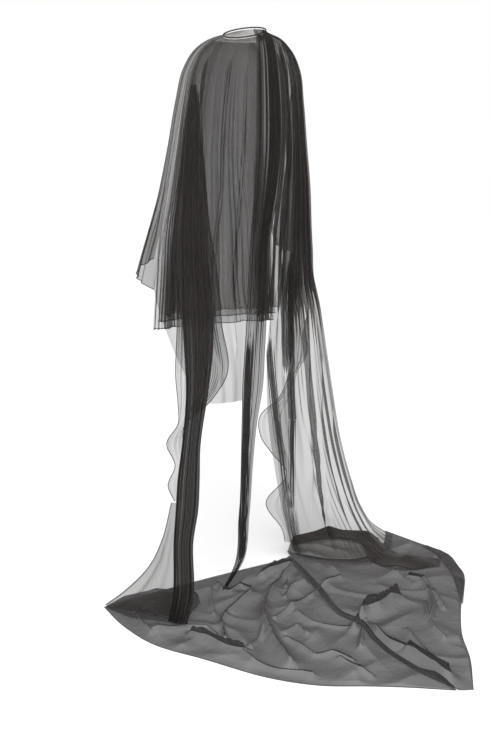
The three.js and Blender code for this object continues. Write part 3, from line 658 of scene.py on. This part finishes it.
TRAIN_RIGHT = [
    (-0.113, 0.069, -0.455, 0.167, 0.140),
    (-0.020, 0.240, -0.455, 0.300, 0.110),
    (0.022, 0.330, -0.455, 0.400, 0.050),
    (0.080, 0.455, -0.415, 0.470, 0.020),
    (0.080, 0.520, -0.361, 0.536, 0.010),
    (0.118, 0.600, -0.209, 0.635, 0.006),
    (0.146, 0.690, -0.068, 0.740, 0.000),
    (0.160, 0.780, 0.014, 0.822, 0.000),
    (0.156, 0.894, 0.130, 0.914, 0.000),
]

# Soft ridges: start and end places, half-width and height.
RIDGES = [
    (0.096, 0.233, 0.216, 0.318, 0.022, 0.012),
    (0.216, 0.318, 0.298, 0.413, 0.022, 0.014),
    (0.298, 0.413, 0.375, 0.550, 0.020, 0.009),
    (0.224, 0.148, 0.172, 0.213, 0.018, 0.008),
    (0.172, 0.213, 0.280, 0.258, 0.020, 0.012),
    (0.280, 0.258, 0.354, 0.289, 0.022, 0.008),
    (0.493, 0.195, 0.382, 0.262, 0.024, 0.007),
    (0.427, 0.314, 0.430, 0.430, 0.020, 0.008),
    (0.020, 0.130, 0.010, 0.250, 0.026, 0.010),
    (-0.010, 0.330, -0.110, 0.250, 0.024, 0.009),
    (0.046, 0.508, -0.090, 0.508, 0.024, 0.015),
    (0.046, 0.508, 0.119, 0.544, 0.020, 0.009),
    (0.072, 0.537, 0.102, 0.651, 0.022, 0.009),
    (0.102, 0.651, 0.112, 0.790, 0.018, 0.011),
    (-0.240, 0.458, -0.156, 0.585, 0.024, 0.011),
    (-0.156, 0.585, -0.063, 0.640, 0.022, 0.009),
    (-0.063, 0.640, -0.034, 0.740, 0.022, 0.008),
    (-0.300, 0.300, -0.350, 0.430, 0.026, 0.009),
    (0.200, 0.480, 0.250, 0.600, 0.024, 0.007),
    (0.060, 0.360, 0.150, 0.430, 0.024, 0.007),
]

# Sharp creases between them: half-width, height, and places along each.
CREASES = [
    (0.008, 0.016, [(-0.049, 0.161), (0.034, 0.203), (0.102, 0.236), (0.188, 0.289), (0.263, 0.358),
                    (0.304, 0.429), (0.339, 0.500), (0.365, 0.554)]),
    (0.006, 0.007, [(0.263, 0.358), (0.326, 0.409), (0.379, 0.429)]),
    (0.005, 0.012, [(0.195, 0.098), (0.214, 0.140), (0.206, 0.165), (0.156, 0.151), (0.151, 0.190),
                    (0.179, 0.216), (0.231, 0.232), (0.296, 0.252), (0.344, 0.282), (0.390, 0.349)]),
    (0.004, 0.008, [(0.004, 0.185), (0.076, 0.252)]),
    (0.006, 0.008, [(0.014, 0.266), (0.063, 0.264), (0.121, 0.294)]),
    (0.005, 0.010, [(-0.087, 0.307), (-0.011, 0.307), (0.054, 0.331), (0.131, 0.342), (0.231, 0.366)]),
    (0.008, 0.026, [(0.014, 0.491), (-0.007, 0.511), (-0.054, 0.506), (-0.102, 0.502)]),
    (0.007, 0.022, [(0.014, 0.491), (0.060, 0.510), (0.121, 0.542)]),
    (0.005, 0.010, [(0.059, 0.526), (0.118, 0.567), (0.180, 0.614)]),
    (0.006, 0.014, [(0.074, 0.542), (0.094, 0.596), (0.108, 0.650), (0.112, 0.711)]),
    (0.010, 0.026, [(0.112, 0.711), (0.126, 0.789), (0.138, 0.850)]),
    (0.006, 0.007, [(0.161, 0.378), (0.172, 0.443), (0.155, 0.473), (0.117, 0.532)]),
    (0.007, 0.008, [(0.261, 0.433), (0.208, 0.424), (0.224, 0.475)]),
    (0.006, 0.009, [(0.276, 0.455), (0.278, 0.502), (0.287, 0.562), (0.253, 0.587), (0.239, 0.639)]),
    (0.006, 0.009, [(0.260, 0.619), (0.265, 0.678), (0.262, 0.720)]),
    (0.005, 0.009, [(0.018, 0.631), (0.050, 0.686), (0.080, 0.740), (0.104, 0.786)]),
    (0.005, 0.013, [(-0.230, 0.441), (-0.229, 0.484), (-0.182, 0.552), (-0.127, 0.607), (-0.065, 0.641)]),
    (0.005, 0.009, [(-0.247, 0.474), (-0.192, 0.561), (-0.149, 0.624)]),
    (0.006, 0.009, [(-0.133, 0.572), (-0.081, 0.619), (-0.033, 0.677), (-0.010, 0.727)]),
    (0.007, 0.008, [(0.500, 0.199), (0.474, 0.213), (0.423, 0.239), (0.389, 0.278), (0.395, 0.316)]),
    (0.007, 0.020, [(0.437, 0.276), (0.427, 0.322), (0.425, 0.381), (0.407, 0.433)]),
    (0.005, 0.009, [(0.470, 0.089), (0.497, 0.148), (0.512, 0.202)]),
    (0.005, 0.006, [(0.230, 0.108), (0.277, 0.166), (0.321, 0.228)]),
    (0.006, 0.009, [(0.410, 0.428), (0.423, 0.488), (0.403, 0.555), (0.360, 0.622)]),
    (0.012, 0.022, [(0.071, 0.151), (0.015, 0.147), (-0.052, 0.154)]),
]

# Small sharp creases: height, how close, direction, and how they sway from it.
CRUMPLES = [
    (0.011, 17.0, (0.8, 0.6), 2.2, (-7.0, 11.0)),
    (0.010, 23.0, (0.5, -0.9), 2.0, (13.0, 5.0)),
    (0.007, 31.0, (0.95, -0.3), 2.5, (7.0, 15.0)),
]


def raised(lines, x, y, roundness):
    """How high lines of raised cloth lift it; their tops are sharp at roundness 1."""
    height = np.zeros_like(x)
    for half, top, route in lines:
        for (start_x, start_y), (end_x, end_y) in zip(route, route[1:]):
            run_x, run_y = end_x - start_x, end_y - start_y
            part = np.clip(((x - start_x) * run_x + (y - start_y) * run_y) / (run_x**2 + run_y**2), 0.0, 1.0)
            away = np.hypot(x - start_x - part * run_x, y - start_y - part * run_y) / half
            height = np.maximum(height, top * np.exp(-away**roundness))
    return height


def crumple(x, y):
    """The small sharp creases of limp cloth that nobody has smoothed out."""
    here = 0.5 + 0.5 * np.sin(19.0 * x + 12.0 * y + 1.0)
    there = 0.5 + 0.5 * np.sin(11.0 * x - 21.0 * y)
    height = np.zeros_like(x)
    for (top, close, way, sway, turn), place in zip(CRUMPLES, (here, there, 1.0 - here)):
        line = close * (way[0] * x + way[1] * y) + sway * np.sin(turn[0] * x + turn[1] * y)
        height += top * (1.0 - np.abs(np.sin(line))) * place**2
    return height


def lying(rows, lifted, over_cloth=0.0):
    """The shape of cloth on the floor or over cloth; lifted raises its near edge over a seam."""
    full_rows = [(0.0, x, y, 0.0, far_x, far_y, bulge, 0.0) for x, y, far_x, far_y, bulge in rows]
    soft_ridges = [(width, top, [(x, y), (far_x, far_y)]) for x, y, far_x, far_y, width, top in RIDGES]

    def shape(share, down):
        points, _ = draped(full_rows, share, down)
        x, y = points[:, 0], points[:, 1]
        edge = np.minimum(np.minimum(share, 1.0 - share), np.minimum(down, 1.0 - down))
        flat_edge = np.clip((edge - BOUND_EDGE) / FADE_EDGE, 0.0, 1.0)
        over = lifted * np.clip(1.0 - share / SEAM_SHARE, 0.0, 1.0)
        lift = raised(soft_ridges, x, y, 2.0) * RIDGE_SHARE + raised(CREASES, x, y, 1.0) * CREASE_SHARE
        lift = lift + crumple(x, y) * CRUMPLE_SHARE
        points[:, 2] = FLOOR + REST_GAP + over_cloth + np.maximum(lift * flat_edge, over)
        return points

    return shape


for side, rows, lifted, cut_area in (("left", TRAIN_LEFT, 0.0, 0.35), ("right", TRAIN_RIGHT, 0.002, 0.24)):
    train_shape = lying(rows, lifted)
    train = cloth_piece(f"train_{side}_silk", 220, 240, train_shape, lying_silk, [f"train_{side}"])
    train_hems = [
        rolled_hem(f"train_{side}_near_hem", train_shape, "near", 240, TRAIN_HEM_RADIUS),
        rolled_hem(f"train_{side}_far_hem", train_shape, "far", 240, TRAIN_HEM_RADIUS),
    ]

# ---------------------------------------------------------------------------
# Turned cloth: where the train was wider than it lies, it is folded over on itself,
# which makes it darker there. Each fold is a layer that lies on the one below.
FOLD_LIFT = 0.0022  # over the train
POOL_LIFT = 0.0008  # over the train, and under the foot fold
FOLD_LEFT = [
    (0.505, -0.004, 0.430, -0.020, 0.0),
    (0.500, 0.045, 0.360, 0.000, 0.0),
    (0.488, 0.100, 0.300, 0.040, 0.0),
    (0.450, 0.160, 0.270, 0.090, 0.0),
    (0.420, 0.215, 0.300, 0.150, 0.0),
]
FOLD_RIGHT = [
    (-0.444, 0.322, -0.457, 0.330, 0.0),
    (-0.420, 0.393, -0.446, 0.414, 0.0),
    (-0.386, 0.445, -0.412, 0.470, 0.0),
    (-0.350, 0.497, -0.376, 0.522, 0.0),
    (-0.272, 0.576, -0.310, 0.574, 0.0),
    (-0.206, 0.640, -0.214, 0.638, 0.0),
]
FOLD_FOOT = [
    (-0.209, 0.000, -0.160, 0.048, 0.0),
    (-0.329, 0.046, -0.276, 0.096, 0.0),
    (-0.400, 0.135, -0.320, 0.172, 0.0),
    (-0.362, 0.240, -0.240, 0.300, 0.0),
    (-0.342, 0.333, -0.256, 0.388, 0.0),
    (-0.403, 0.420, -0.360, 0.452, 0.0),
]
POOL = [
    (-0.190, 0.012, -0.112, 0.072, 0.0),
    (-0.290, 0.062, -0.158, 0.190, 0.0),
    (-0.375, 0.120, -0.235, 0.262, 0.0),
    (-0.395, 0.190, -0.330, 0.262, 0.0),
]
for side, rows, size, cut_area, lift, material in (
    ("left", FOLD_LEFT, (0.20, 0.24), 0.03, FOLD_LIFT, lying_silk),
    ("right", FOLD_RIGHT, (0.04, 0.42), 0.012, FOLD_LIFT, lying_silk),
    ("foot", FOLD_FOOT, (0.09, 0.50), 0.045, FOLD_LIFT, band_silk),
    ("pool", POOL, (0.14, 0.30), 0.042, POOL_LIFT, sheer_silk),
):
    turned = cloth_piece(f"train_fold_{side}_silk", 60, 60, lying(rows, 0.0, lift), material)

# ---------------------------------------------------------------------------
# Neck: a narrow binding of the same silk, rolled over the gathered edges of the
# panels, and a bare woven tab sewn inside it at the back.
BINDING_LIFT = np.array([0.0, 0.0, 0.0045])  # above the panels' upper edges
BINDING_RADIUS = 0.0019


def binding_line(share, down):
    """The line of the binding, all round the neck."""
    return neck_arc(0, 360, share) + BINDING_LIFT


binding = rolled_hem("neck_binding_roll", binding_line, "top", 121, BINDING_RADIUS)
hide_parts("neck_binding")
bpy.data.objects["neck_tab"].data.materials.clear()
bpy.data.objects["neck_tab"].data.materials.append(hem_silk)
